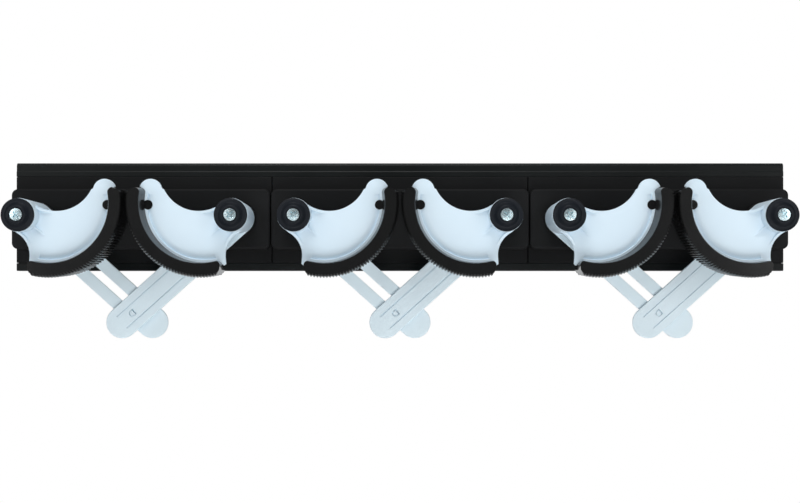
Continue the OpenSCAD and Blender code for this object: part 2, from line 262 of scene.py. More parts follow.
def grainGroup():
    # Fine skin of a moulded or coated surface, plus slow changes of its tone
    group = newGroup("surfaceGrain",
                     [(label, "NodeSocketFloat", grainValues[label]) for label in ("grainSize", "toneSize")],
                     [("height", "NodeSocketFloat"), ("tone", "NodeSocketFloat")])
    nodes, links = group.nodes, group.links
    taken = nodes.new("NodeGroupInput")
    given = nodes.new("NodeGroupOutput")
    coordinates = nodes.new("ShaderNodeTexCoord")
    fine = nodes.new("ShaderNodeTexNoise")
    fine.inputs["Detail"].default_value = grainValues["fineDetail"]
    slow = nodes.new("ShaderNodeTexNoise")
    slow.inputs["Detail"].default_value = grainValues["slowDetail"]
    links.new(coordinates.outputs["Object"], fine.inputs["Vector"])
    links.new(coordinates.outputs["Object"], slow.inputs["Vector"])
    links.new(taken.outputs["grainSize"], fine.inputs["Scale"])
    links.new(taken.outputs["toneSize"], slow.inputs["Scale"])
    links.new(fine.outputs["Fac"], given.inputs["height"])
    links.new(slow.outputs["Fac"], given.inputs["tone"])
    return group


surfaceGrain = grainGroup()


# What a finish has unless its own look says otherwise
plainLook = {"metallic": 0.0, "specular": 0.5, "subsurface": 0.0, "subsurfaceScale": 0.001,
             "subsurfaceRadius": (1.0, 1.0, 1.0), "bumpDistance": 0.0002}


def makeFinish(name, ownLook):
    # One Principled shader: two tones mixed by the slow noise, and a fine bump
    look = {**plainLook, **ownLook}
    material = bpy.data.materials.new(name)
    material.use_nodes = True
    nodes, links = material.node_tree.nodes, material.node_tree.links
    shader = nodes["Principled BSDF"]
    for label, key in (("Metallic", "metallic"), ("Specular IOR Level", "specular"),
                       ("Subsurface Weight", "subsurface"), ("Subsurface Radius", "subsurfaceRadius"),
                       ("Subsurface Scale", "subsurfaceScale")):
        shader.inputs[label].default_value = look[key]
    grain = nodes.new("ShaderNodeGroup")
    grain.node_tree = surfaceGrain
    grain.inputs["grainSize"].default_value = look["grainSize"]
    grain.inputs["toneSize"].default_value = look["toneSize"]
    tones = nodes.new("ShaderNodeMix")
    tones.data_type = "RGBA"
    tones.inputs["A"].default_value = (*look["dark"], 1)
    tones.inputs["B"].default_value = (*look["light"], 1)
    links.new(grain.outputs["tone"], tones.inputs["Factor"])
    links.new(tones.outputs["Result"], shader.inputs["Base Color"])
    gloss = nodes.new("ShaderNodeMapRange")
    gloss.inputs["To Min"].default_value = look["smooth"]
    gloss.inputs["To Max"].default_value = look["rough"]
    links.new(grain.outputs["tone"], gloss.inputs["Value"])
    links.new(gloss.outputs["Result"], shader.inputs["Roughness"])
    bump = nodes.new("ShaderNodeBump")
    bump.inputs["Strength"].default_value = look["bump"]
    bump.inputs["Distance"].default_value = look["bumpDistance"]
    links.new(grain.outputs["height"], bump.inputs["Height"])
    links.new(bump.outputs["Normal"], shader.inputs["Normal"])
    return material


looks = {
    "railCoat": {
        "dark": (0.0044, 0.0062, 0.0062), "light": (0.0056, 0.0076, 0.0078), "specular": 0.2,
        "smooth": 0.4, "rough": 0.5, "grainSize": 1400, "toneSize": 14, "bump": 0.12},
    "baseBlack": {
        "dark": (0.0126, 0.013, 0.0135), "light": (0.0144, 0.0149, 0.0155), "specular": 0.06,
        "smooth": 0.45, "rough": 0.55, "grainSize": 2200, "toneSize": 30, "bump": 0.12},
    "jawWhite": {
        "dark": (0.69, 0.83, 0.94), "light": (0.73, 0.865, 0.965),
        "smooth": 0.3, "rough": 0.4, "grainSize": 1500, "toneSize": 45, "bump": 0.05,
        "subsurface": 0.1, "subsurfaceScale": 0.0015},
    "treadRubber": {
        "dark": (0.0052, 0.0054, 0.0055), "light": (0.0066, 0.0068, 0.007), "specular": 0.45,
        "smooth": 0.17, "rough": 0.23, "grainSize": 3000, "toneSize": 60, "bump": 0.08},
    "armWhite": {
        "dark": (0.745, 0.88, 0.96), "light": (0.785, 0.912, 0.985),
        "smooth": 0.32, "rough": 0.42, "grainSize": 1500, "toneSize": 40, "bump": 0.06,
        "subsurface": 0.1, "subsurfaceScale": 0.0015},
    "knobBlack": {
        "dark": (0.0098, 0.0122, 0.0165), "light": (0.012, 0.0148, 0.0198), "specular": 0.14,
        "smooth": 0.36, "rough": 0.48, "grainSize": 2600, "toneSize": 80, "bump": 0.1},
    "screwZinc": {
        "dark": (0.44, 0.7, 0.8), "light": (0.95, 1.0, 1.0), "metallic": 1.0,
        "smooth": 0.2, "rough": 0.36, "grainSize": 2400, "toneSize": 1300, "bump": 0.5},
}
finishes = {name: makeFinish(name, look) for name, look in looks.items()}
print("finishes made")

# Rail
railSizes = {
    "wall": 2,
    "depth": 8,
    "lipBack": 4.8,
    "lipEdge": 28.2,        # height where the base's flange begins
    "tongueEdge": 30.9,
    "bead": 31.1,
    "beadRadius": 0.9,
    "stripStep": 0.45,      # the plain strip above the bead stands this far back
    "chamfer": 0.6,
    "topRound": 2.2,
    "beadTurn": 55,
    "edge": 0.2,
    "screwHole": 2.75,
    "screwPlace": 20,       # from the middle of a holder
}


def modelRail(sizes):
    low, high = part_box("rail")
    bottom, top = low.z / mm, high.z / mm
    bead, radius, chamfer, topRound = sizes["bead"], sizes["beadRadius"], sizes["chamfer"], sizes["topRound"]
    depth, wall, lipBack = sizes["depth"], sizes["wall"], sizes["lipBack"]
    stripFront = depth - sizes["stripStep"]
    moves = [("line", (depth - chamfer, bottom)),
             ("line", (depth, bottom + chamfer)),
             ("line", (depth, -sizes["lipEdge"])),
             ("line", (lipBack, -sizes["lipEdge"])),
             ("line", (lipBack, -sizes["tongueEdge"])),
             ("line", (wall, -sizes["tongueEdge"])),
             ("line", (wall, sizes["tongueEdge"])),
             ("line", (lipBack, sizes["tongueEdge"])),
             ("line", (lipBack, sizes["lipEdge"])),
             ("line", (depth, sizes["lipEdge"])),
             ("line", (depth, bead)),
             ("arc", (depth - radius, bead), sizes["beadTurn"]),
             ("line", (stripFront, bead + radius)),
             ("line", (stripFront, top - topRound)),
             ("arc", (stripFront - topRound, top - topRound), 90),
             ("line", (0, top)),
             ("line", (0, bottom))]
    rail = slab("railModel", sideView, Vector((high.x, 0, 0)), (0, bottom), moves, lengthOf("rail"))
    soften(rail, sizes["edge"], 2)
    for unit in units:
        for x in (-sizes["screwPlace"], sizes["screwPlace"]):
            hole = slab("screwHole", frontView, place(unitShift(unit) + x, -overcut, 0),
                        *circleMoves(sizes["screwHole"]), sizes["wall"] + 2 * overcut)
            combine(rail, hole, "DIFFERENCE")
    rail.name = "wallRail"
    finishPiece(rail, finishes["railCoat"], "rail_and_bases", "rail")


modelRail(railSizes)
print("rail made")

# Bases
baseSizes = {
    "back": 2.2,
    "tongue": 2.4,
    "tongueHalf": 30.7,
    "half": 28,
    "flangeFront": 8.8,
    "bodyHalf": 19.3,
    "bodyEnd": 0.1,         # how far the raised middle stays inside the base's ends
    "corner": 4,
    "edgeRound": 1.3,
    "tongueRound": 0.3,
    "flangeRound": 0.5,
    "screwPlace": 20,
    "screwHole": 2.75,
    "screwHead": 6,
    "screwFloor": 5.2,
    "mouth": (0.6, 0.5, 0.1),       # wider, deeper and higher by this where the recess opens
    "postHole": 6.1,
    "hollowWall": 2,
    "hollowEnd": 3,
    "hollowHalf": 17,
    "postWall": 3,
    "screwWall": 2,
    "ribHalf": (1, 20),
}


def roundedRectangle(halfWidth, halfHeight, corner):
    x, z = halfWidth - corner, halfHeight - corner
    moves = [("arc", (x, z), 90), ("line", (-x, halfHeight)), ("arc", (-x, z), 90),
             ("line", (-halfWidth, -z)), ("arc", (-x, -z), 90), ("line", (x, -halfHeight)),
             ("arc", (x, -z), 90), ("line", (halfWidth, z))]
    return (halfWidth, z), moves


def bevelFront(piece, width, segments, reach=0.01):
    # Bevels the outer edges of the foremost face
    pick(piece)
    front = min(vertex.co.y for vertex in piece.data.vertices)
    bpy.context.tool_settings.mesh_select_mode = (False, True, False)
    bpy.ops.object.mode_set(mode="EDIT")
    bpy.ops.mesh.select_all(action="DESELECT")
    bpy.ops.object.mode_set(mode="OBJECT")
    for edge in piece.data.edges:
        ends = [piece.data.vertices[index].co.y for index in edge.vertices]
        edge.select = max(ends) < front + reach * mm
    bpy.ops.object.mode_set(mode="EDIT")
    bpy.ops.mesh.bevel(offset=width * mm, segments=segments, affect="EDGES")
    bpy.ops.object.mode_set(mode="OBJECT")
    return piece


def modelBase(sizes):
    back, front = sizes["back"], depthsOf("base_2")[1]
    halfLength = lengthOf("base_2") / 2
    tongue = slab("baseModel", frontView, place(0, back, 0),
                  *rectangle((-halfLength, -sizes["tongueHalf"]), (halfLength, sizes["tongueHalf"])),
                  sizes["tongue"])
    flange = slab("flange", frontView, place(0, back + sizes["tongue"] / 2, 0),
                  *rectangle((-halfLength, -sizes["half"]), (halfLength, sizes["half"])),
                  sizes["flangeFront"] - back - sizes["tongue"] / 2)
    soften(tongue, sizes["tongueRound"], 2)
    soften(flange, sizes["flangeRound"], 3)
    combine(tongue, flange, "UNION")
    middle = slab("raisedMiddle", frontView, place(0, back + sizes["tongue"], 0),
                  *roundedRectangle(halfLength - sizes["bodyEnd"], sizes["bodyHalf"], sizes["corner"]),
                  front - back - sizes["tongue"])
    bevelFront(middle, sizes["edgeRound"], 4)
    combine(tongue, middle, "UNION")
    hollow = slab("hollow", frontView, place(0, back - overcut, 0),
                  *rectangle((-halfLength + sizes["hollowEnd"], -sizes["hollowHalf"]),
                             (halfLength - sizes["hollowEnd"], sizes["hollowHalf"])),
                  front - sizes["hollowWall"] - back + overcut)
    # Bosses and ribs that the hollow leaves standing
    behind, through = back - 2 * overcut, front - back + 4 * overcut
    post, screw = sizes["postHole"] + sizes["postWall"], sizes["screwHead"] + sizes["screwWall"]
    for x, radius in ((-pivotX, post), (-sizes["screwPlace"], screw), (sizes["screwPlace"], screw),
                      (pivotX, post)):
        boss = slab("bossRoom", frontView, place(x, behind, 0), *circleMoves(radius), through)
        combine(hollow, boss, "DIFFERENCE")
    ribHalf, ribReach = sizes["ribHalf"]
    for x in (-pivotX, -pivotX / 2, pivotX / 2, pivotX):
        rib = slab("ribRoom", frontView, place(x, behind, 0),
                   *rectangle((-ribHalf, -ribReach), (ribHalf, ribReach)), through)
        combine(hollow, rib, "DIFFERENCE")
    combine(tongue, hollow, "DIFFERENCE")
    for x in (-pivotX, pivotX):
        hole = slab("postHole", frontView, place(x, 0, 0), *circleMoves(sizes["postHole"]), front + overcut)
        combine(tongue, hole, "DIFFERENCE")
    rim = sizes["screwHead"]
    wider, deeper, higher = sizes["mouth"]
    for x in (-sizes["screwPlace"], sizes["screwPlace"]):
        hole = slab("screwHole", frontView, place(x, 0, 0), *circleMoves(sizes["screwHole"]), front + overcut)
        combine(tongue, hole, "DIFFERENCE")
        sink = turned("screwRecess", place(x, 0, 0), (0, sizes["screwFloor"]),
                      [("line", (rim, sizes["screwFloor"])), ("line", (rim, front - deeper)),
                       ("line", (rim + wider, front + higher)), ("line", (rim + wider, front + 2 * overcut)),
                       ("line", (0, front + 2 * overcut))])
        combine(tongue, sink, "DIFFERENCE")
    return tongue


baseModel = modelBase(baseSizes)
for unit in units:
    base = copyPiece(baseModel, f"holderBase{unit}", unitShift(unit))
    finishPiece(base, finishes["baseBlack"], "rail_and_bases", f"base_{unit}")
bpy.data.objects.remove(baseModel)
print("bases made")

# Posts, turned from one profile
postSizes = {"radius": 6, "collar": 10, "bodyFront": 20, "edge": 0.4, "hole": 2.0, "holeDepth": 18}


def modelPost(sizes, armBack):
    back, front = depthsOf("post_left_2")
    radius, collar, edge = sizes["radius"], sizes["collar"], sizes["edge"]
    collarFront = armBack - turnGap
    moves = [("line", (radius, back)),
             ("line", (radius, sizes["bodyFront"])),
             ("line", (collar, sizes["bodyFront"])),
             ("line", (collar, collarFront - edge)),
             ("arc", (collar - edge, collarFront - edge), 90),
             ("line", (radius, collarFront)),
             ("line", (radius, front - edge)),
             ("arc", (radius - edge, front - edge), 90),
             ("line", (sizes["hole"], front)),
             ("line", (sizes["hole"], front - sizes["holeDepth"])),
             ("line", (0, front - sizes["holeDepth"]))]
    return turned("postModel", place(-pivotX, 0, 0), (0, back), moves)


for side in ("left", "right"):
    postModel = modelPost(postSizes, depthsOf(f"arm_{side}_2")[0])
    for unit in units:
        post = copyPiece(postModel, f"pivotPost_{side}_{unit}", unitShift(unit), side == "right")
        finishPiece(post, finishes["baseBlack"], "rail_and_bases", f"post_{side}_{unit}")
    bpy.data.objects.remove(postModel)
print("posts made")

# Jaws, drawn from the left-hand pivot
jawSizes = {
    "rimCentre": (17.2, 7.9),
    "rimRadius": 36.9,
    "rimTrim": 0.6,         # that the plate stays inside the rim
    "rimOverlap": 0.6,
    "rimEdge": 0.35,
    "rimBack": 44.5,
    "plateBack": 56.5,
    "plateFront": 58.5,
    "rimFront": 59.3,
    "lowTurn": -102.1,
    "highTurn": 9.3,
    "earRound": 2.4,        # inner corners between the rim and the ears
    "topCentre": (20.9, 26.5),
    "topRadius": 23.6,
    "topArc": (-124, 98),   # each arc's first turn and its sweep
    "headRadius": 7,
    "headArc": (170, -148),
    # Outwards from the rim, and the turn about its centre
    "headCentre": (-3, 13.1),
    "headEar": (4.2, 14.4),
    "lowEar": (3.3, -107.2),
    "lowCentre": (-11.5, -24.2),
    "lowRadius": 15.9,
    "lowArc": (-4, 66),
    "lowCorner": (4.0, -29.5),      # blunt tip of the lower ear
    "barrel": 10.3,
    "barrelBack": 10,
    "barrelRound": 0.6,
    "barrelTurn": -140,
    "bore": 6.05,
    "finReach": 20.5,
    "finWidth": 1.2,
    "finInset": 0.5,        # from the outline's edge
    "finTip": 0.6,
    "finSink": 0.5,
    "topFin": (-122, 58),
    "lowFin": (2, 64),
    "finRise": 2.3,         # over the plate, at the barrel
    "middleFin": 0.9,
    "ribDepth": 12,
    "ribWidth": 1.6,
    "ribTurns": (-12, -42, -74),
    "ribInset": 1,          # into the barrel and the rim
    "seam": (0.2, 0.1),     # that a rib and the key run into what they join
    "rollStart": 30.6,      # radius where the plate begins to fall towards the rim
    "rollEnd": 35.5,
    "rollFall": 1.25,
    "endTurn": 0.5,         # the fall stops short of the rim's ends, the wall runs on
    "lugRadius": 3.0,
    "lugTurn": -2,
    "lugBack": 50.5,
    "lugInset": 2.2,
    "notchDepth": 12,
    "neckHalf": 2.1,
    "neckReach": 6,
    "keyRadius": 8.05,
    "keyHalf": 7.45,
    "keyReach": 12,
    "edge": 0.4,
}


def jawOutline(sizes, rimTrim):
    rim, top, low = sizes["rimCentre"], sizes["topCentre"], sizes["lowCentre"]
    radius = sizes["rimRadius"]
    headCentre, headEar, lowEar = (around(rim, radius + sizes[corner][0], sizes[corner][1])
                                   for corner in ("headCentre", "headEar", "lowEar"))
    topStart, topSweep = sizes["topArc"]
    headStart, headSweep = sizes["headArc"]
    lowStart, lowSweep = sizes["lowArc"]
    earRound, highTurn, lowTurn = sizes["earRound"], sizes["highTurn"], sizes["lowTurn"]
    highRound = around(rim, radius + earRound, highTurn)
    lowRound = around(rim, radius + earRound, lowTurn)
    highTouch = touchTurn(headEar, highRound, earRound, -1)
    lowTouch = touchTurn(lowEar, lowRound, earRound, 1)
    start = around(top, sizes["topRadius"], topStart)
    moves = [("arc", top, topSweep),
             ("line", around(headCentre, sizes["headRadius"], headStart)),
             ("arc", headCentre, headSweep),
             ("line", headEar),
             ("line", around(highRound, earRound, highTouch)),
             ("arc", highRound, sweep(highTouch, highTurn + 180)),
             ("line", around(rim, radius - rimTrim, highTurn)),
             ("arc", rim, lowTurn - highTurn),
             ("line", around(rim, radius, lowTurn)),
             ("arc", lowRound, sweep(lowTurn + 180, lowTouch)),
             ("line", lowEar),
             ("line", sizes["lowCorner"]),
             ("line", around(low, sizes["lowRadius"], lowStart)),
             ("arc", low, lowSweep),
             ("line", around((0, 0), sizes["barrel"], sizes["barrelTurn"])),
             ("line", (0, 0)),
             ("line", start)]
    return start, moves


def ringProfile(inner, outer, back, front, edge):
    start = (inner, back)
    moves = [("line", (outer, back)),
             ("line", (outer, front - edge)),
             ("arc", (outer - edge, front - edge), 90),
             ("line", (inner + edge, front)),
             ("arc", (inner + edge, front - edge), 90),
             ("line", start)]
    return start, moves


def modelJaw(sizes, armBack, armFront):
    pivot = place(-pivotX, 0, 0)
    rimCentre = Vector(sizes["rimCentre"])
    rimPlace = place(rimCentre.x - pivotX, 0, rimCentre.y)
    radius, plateBack, plateFront = sizes["rimRadius"], sizes["plateBack"], sizes["plateFront"]
    barrelFront = depthsOf("knob_left_2")[0] - turnGap
    lift = Vector((0, -plateBack * mm, 0))
    jaw = slab("jawModel", frontView, pivot + lift, *jawOutline(sizes, sizes["rimTrim"]),
               plateFront - plateBack)
    soften(jaw, sizes["edge"], 3, 50)
    # The plate falls away towards the rim
    fall = sizes["rollFall"]
    width = sizes["rollEnd"] - sizes["rollStart"]
    rollRadius = (width ** 2 + fall ** 2) / (2 * fall)
    rollTurn = math.degrees(math.asin(width / rollRadius))
    endTurn = sizes["endTurn"]
    rollMoves = [("arc", (sizes["rollStart"], plateFront - rollRadius), -rollTurn),
                 ("line", (sizes["rollEnd"], plateFront + 2 * overcut)),
                 ("line", (sizes["rollStart"], plateFront + 2 * overcut)),
                 ("line", (sizes["rollStart"], plateFront))]
    roll = turned("rollCutter", rimPlace, (sizes["rollStart"], plateFront), rollMoves,
                  sizes["highTurn"] - sizes["lowTurn"] - 2 * endTurn, sizes["lowTurn"] + endTurn)
    combine(jaw, roll, "DIFFERENCE")
    # Wall behind the rim
    start, moves = ringProfile(sizes["rollEnd"] - sizes["rimOverlap"], radius, sizes["rimBack"],
                               sizes["rimFront"], sizes["rimEdge"])
    wall = turned("rimWall", rimPlace, start, moves,
                  sizes["highTurn"] - sizes["lowTurn"] + 2 * endTurn, sizes["lowTurn"] - endTurn)
    combine(jaw, wall, "UNION")
    # Barrel, wider towards the front
    barrel, back, bend = sizes["barrel"], sizes["barrelBack"], sizes["barrelRound"]
    moves = [("line", (back, armFront)),
             ("line", (barrel, plateFront)),
             ("line", (barrel, barrelFront - bend)),
             ("arc", (barrel - bend, barrelFront - bend), 90),
             ("line", (0, barrelFront))]
    combine(jaw, turned("barrel", pivot, (0, armFront), moves), "UNION")
    # Fins that slope from the barrel down to the plate
    sink = sizes["finSink"]
    cone = turned("finCone", pivot, (0, plateFront - sink),
                  [("line", (sizes["finReach"] + sizes["finTip"], plateFront - sink)),
                   ("line", (barrel - sink, plateFront + sizes["finRise"])),
                   ("line", (0, plateFront + sizes["finRise"]))])
    half = sizes["middleFin"] / 2
    finBack = pivot - Vector((0, (plateFront - overcut) * mm, 0))
    fins = slab("fins", turnedView(-armSlope), finBack, *rectangle((0, -half), (radius, half)),
                barrelFront - plateFront + overcut)
    for centre, bend, turn, degrees in ((sizes["topCentre"], sizes["topRadius"], *sizes["topFin"]),
                                        (sizes["lowCentre"], sizes["lowRadius"], *sizes["lowFin"])):
        inner = around(centre, bend + sizes["finInset"], turn)
        outer = around(centre, bend + sizes["finInset"] + sizes["finWidth"], turn + degrees)
        band = slab("finBand", frontView, finBack, inner,
                    [("arc", centre, degrees), ("line", outer), ("arc", centre, -degrees), ("line", inner)],
                    barrelFront - plateFront + overcut)
        combine(fins, band, "UNION")
    combine(fins, cone, "INTERSECT")
    combine(jaw, fins, "UNION")
    # Ribs behind the plate
    ribSeam, keySeam = sizes["seam"]
    for turn in sizes["ribTurns"]:
        foot = around(rimCentre, radius - sizes["ribInset"], turn)
        reach = foot.length
        slope = math.degrees(math.atan2(foot.y, foot.x))
        rib = slab("rib", turnedView(slope), pivot - Vector((0, (plateBack - sizes["ribDepth"]) * mm, 0)),
                   *rectangle((back - sizes["ribInset"], -sizes["ribWidth"] / 2),
                              (reach, sizes["ribWidth"] / 2)),
                   sizes["ribDepth"] + ribSeam)
        combine(jaw, rib, "UNION")
    # Keyed end in the arm
    key = slab("key", turnedView(-armSlope), place(-pivotX, armBack, 0), *circleMoves(sizes["keyRadius"]),
               armFront - armBack + keySeam)
    flats = slab("flats", turnedView(-armSlope), place(-pivotX, armBack - overcut, 0),
                 *rectangle((-sizes["keyReach"], -sizes["keyHalf"]), (sizes["keyReach"], sizes["keyHalf"])),
                 armFront - armBack + 3 * overcut)
    combine(key, flats, "INTERSECT")
    combine(jaw, key, "UNION")
    bore = slab("bore", frontView, place(-pivotX, armBack - overcut, 0), *circleMoves(sizes["bore"]),
                barrelFront - armBack + 2 * overcut)
    combine(jaw, bore, "DIFFERENCE")
    # Notch for the tread's lug
    lug = around(rimCentre, radius - sizes["lugInset"], sizes["lugTurn"])
    lugPlace = place(lug.x - pivotX, sizes["lugBack"], lug.y)
    notch = slab("notch", frontView, lugPlace, *circleMoves(sizes["lugRadius"]), sizes["notchDepth"])
    neck = slab("neck", turnedView(sizes["lugTurn"]), lugPlace,
                *rectangle((0, -sizes["neckHalf"]), (sizes["neckReach"], sizes["neckHalf"])),
                sizes["notchDepth"])
    combine(notch, neck, "UNION")
    combine(jaw, notch, "DIFFERENCE")
    return jaw


for side in ("left", "right"):
    jawModel = modelJaw(jawSizes, *depthsOf(f"arm_{side}_2"))
    for unit in units:
        jaw = copyPiece(jawModel, f"gripJaw_{side}_{unit}", unitShift(unit), side == "right")
        finishPiece(jaw, finishes["jawWhite"], f"jaw_{side}_{unit}", f"jaw_{side}_{unit}")
    bpy.data.objects.remove(jawModel)
print("jaws made")

# Treads
treadSizes = {
    "inner": 37.0,
    "outer": 45.75,
    "innerEdge": 0.5,
    "toothPitch": 1.94,
    "toothHeight": 0.85,
    # Corners of one tooth: share of its pitch, and of its height
    "toothShape": [(0.2, 1), (0.5, 1), (0.7, 0), (1, 0)],
    "arcShift": (1.1, -0.2),        # from the rim's centre to the toothed arc's
    "arcWidth": 12,
    "overrun": (6, 12),             # of the toothed arc past the rim's low and high ends
    # Corners of the front view: outwards from the arc, and turned on from the rim's end
    "lowCut": (-3.2, -2.4),
    "lowWide": (2.5, 4.4),
    "wideTrim": 5.8,
    "highCut": (-3, 1.2),
    "topTurn": 60,
    "insideReach": (8, -70, 14),    # above, aside and below the jaw
    # Depth behind the front face and radius lost there, from back to front
    "crown": [(26.3, 1.5), (25.6, 0.8), (9, 0.6), (4.5, 0), (1.8, 0.3), (0, 1.2)],
    # In front of the jaw's rim the tread laps over it
    "lipStart": 59.4,
    "lipInner": 36.5,
    "lipOverlap": 0.1,
    "flare": 1.4,
    "lean": (1.5, -0.6),            # of the lip's inside, up to the front
    "lugRadius": 2.9,
    "lugFront": 58.8,
    "lugLength": 8,
    "lugEdge": 0.3,
    "neck": 4,
    "neckLength": 4,
    "dimpleRadius": 1.3,
    "dimpleDepth": 0.5,
}


def treadOutline(sizes, inner):
    # The front view of the tread without its teeth
    rim, radius, earRound = jawSizes["rimCentre"], jawSizes["rimRadius"], jawSizes["earRound"]
    lowTurn, highTurn = jawSizes["lowTurn"], jawSizes["highTurn"]
    outer, topTurn = sizes["outer"], sizes["topTurn"]
    lowCut, lowWide, highCut = sizes["lowCut"], sizes["lowWide"], sizes["highCut"]
    corner = radius + earRound - inner
    lowRound, highRound = (around(rim, radius + earRound, turn) for turn in (lowTurn, highTurn))
    start = around(rim, inner, lowTurn)
    moves = [("arc", lowRound, sweep(lowTurn + 180, 180)),
             ("line", around(rim, outer + lowCut[0], lowTurn + lowCut[1])),
             ("line", around(rim, outer + lowWide[0], lowTurn + lowWide[1])),
             ("arc", rim, highTurn - lowTurn - sizes["wideTrim"]),
             ("line", around(rim, outer + highCut[0], highTurn + highCut[1])),
             ("line", around(highRound, corner, topTurn)),
             ("arc", highRound, sweep(topTurn, highTurn + 180)),
             ("arc", rim, lowTurn - highTurn)]
    return start, moves


def insideOutline(sizes, inner):
    # All that the tread's inner side and its round upper end enclose
    rim, lowTurn = jawSizes["rimCentre"], jawSizes["lowTurn"]
    highTurn, endRadius = jawSizes["highTurn"], jawSizes["rimRadius"] + jawSizes["earRound"]
    end, start = around(rim, endRadius, highTurn), around(rim, inner, lowTurn)
    above, aside, below = sizes["insideReach"]
    top = around(end, endRadius - inner, sizes["topTurn"])
    moves = [("arc", rim, highTurn - lowTurn), ("arc", end, sweep(highTurn + 180, sizes["topTurn"])),
             ("line", top + Vector((0, above))), ("line", top + Vector((aside, above))),
             ("line", around(start, below, lowTurn - 90))]
    return start, moves


def modelTread(sizes):
    rimCentre = Vector(jawSizes["rimCentre"])
    back, front = depthsOf("tread_left_2")
    rimPlace = place(rimCentre.x - pivotX, 0, rimCentre.y)
    outer = sizes["outer"]
    lowTurn, highTurn = jawSizes["lowTurn"] - sizes["overrun"][0], jawSizes["highTurn"] + sizes["overrun"][1]
    # Toothed arc, pulled forward in steps that give it round shoulders
    teeth = round(math.radians(highTurn - lowTurn) * outer / sizes["toothPitch"])
    toothStep = (highTurn - lowTurn) / teeth
    depth, loss = sizes["crown"][0]
    size = outer - loss
    root = size - sizes["toothHeight"]
    start = around((0, 0), size - sizes["arcWidth"], lowTurn)
    moves = [("line", around((0, 0), root, lowTurn))]
    for tooth in range(teeth):
        for share, rise in sizes["toothShape"]:
            spot = around((0, 0), root + rise * sizes["toothHeight"], lowTurn + (tooth + share) * toothStep)
            moves.append(("line", spot))
    moves += [("line", around((0, 0), size - sizes["arcWidth"], highTurn)),
              ("arc", (0, 0), lowTurn - highTurn)]
    shiftX, shiftZ = sizes["arcShift"]
    arcPlace = rimPlace + place(shiftX, 0, shiftZ)
    arcBack = arcPlace + Vector((0, (depth - front) * mm, 0))
    tread = drawOutline("treadModel", frontView, arcBack, start, moves)
    bpy.ops.mesh.edge_face_add()
    for nextDepth, nextLoss in sizes["crown"][1:]:
        bpy.ops.mesh.extrude_region_move(TRANSFORM_OT_translate={"value": (0, (nextDepth - depth) * mm, 0)})
        grow = (outer - nextLoss) / size
        bpy.ops.transform.resize(value=(grow, 1, grow), center_override=arcPlace)
        depth, size = nextDepth, outer - nextLoss
    closeSolid(tread)
    shape = slab("treadShape", frontView, place(-pivotX, back, 0), *treadOutline(sizes, sizes["inner"]),
                 sizes["lipStart"] + sizes["lipOverlap"] - back)
    lip = slab("treadLip", frontView, place(-pivotX, sizes["lipStart"], 0),
               *treadOutline(sizes, sizes["lipInner"]), front - sizes["lipStart"])
    combine(shape, lip, "UNION")
    combine(tread, shape, "INTERSECT")
    # The lip's inside leans out and ends in a flared edge
    inner, edge, start = sizes["lipInner"], sizes["innerEdge"], sizes["lipStart"]
    lean = place(sizes["lean"][0], front - start, sizes["lean"][1])
    inside = drawOutline("treadInside", frontView, place(-pivotX, start, 0), *insideOutline(sizes, inner))
    bpy.ops.mesh.edge_face_add()
    bpy.ops.mesh.extrude_region_move(TRANSFORM_OT_translate={"value": lean * (1 - edge / (front - start))})
    bpy.ops.mesh.extrude_region_move(TRANSFORM_OT_translate={"value": (0, -2 * edge * mm, 0)})
    flare = 1 + sizes["flare"] * edge / inner
    bpy.ops.transform.resize(value=(flare, 1, flare), center_override=rimPlace + lean)
    closeSolid(inside)
    combine(tread, inside, "DIFFERENCE")
    lug = around(rimCentre, jawSizes["rimRadius"] - jawSizes["lugInset"], jawSizes["lugTurn"])
    lugPlace = place(lug.x - pivotX, sizes["lugFront"] - sizes["lugLength"], lug.y)
    peg = slab("lug", frontView, lugPlace, *circleMoves(sizes["lugRadius"]), sizes["lugLength"])
    neck = slab("neck", turnedView(jawSizes["lugTurn"]), lugPlace,
                *rectangle((0, -sizes["neck"] / 2), (sizes["neckLength"], sizes["neck"] / 2)),
                sizes["lugLength"])
    combine(peg, neck, "UNION")
    soften(peg, sizes["lugEdge"], 2, 60)
    dimplePlace = place(lug.x - pivotX, sizes["lugFront"] - sizes["dimpleDepth"], lug.y)
    dimple = slab("dimple", frontView, dimplePlace, *circleMoves(sizes["dimpleRadius"]), overcut)
    combine(peg, dimple, "DIFFERENCE")
    combine(tread, peg, "UNION")
    return tread


treadModel = modelTread(treadSizes)
for side in ("left", "right"):
    for unit in units:
        tread = copyPiece(treadModel, f"rubberTread_{side}_{unit}", unitShift(unit), side == "right")
        finishPiece(tread, finishes["treadRubber"], f"jaw_{side}_{unit}",
                    f"tread_{side}_{unit}", 30)
bpy.data.objects.remove(treadModel)
print("treads made")

# Arms
armSizes = {
    "length": 99,
    "half": 10,
    "slotStart": 26,
    "slotEnd": 93,
    "slotHalf": 2.55,
    "keyRadius": 8.15,
    "keyHalf": 7.55,
    "keyReach": 12,
    "grooveStart": 20,
    "grooveOffset": 4.75,
    "grooveWidth": 0.6,
    "grooveDepth": 0.9,
    "hookBack": 10.8,
    "hookWidth": 4,
    "hookLine": 0.55,
    "hookStraight": 1.2,
    "hookSlit": 0.9,
    "hookDepth": 1,
    "slitFloor": 0.2,
    "edge": 0.6,
}


def stadium(low, high, half):
    moves = [("line", (high, half)), ("arc", (high, 0), -180),
             ("line", (low, -half)), ("arc", (low, 0), -180)]
    return (low, half), moves


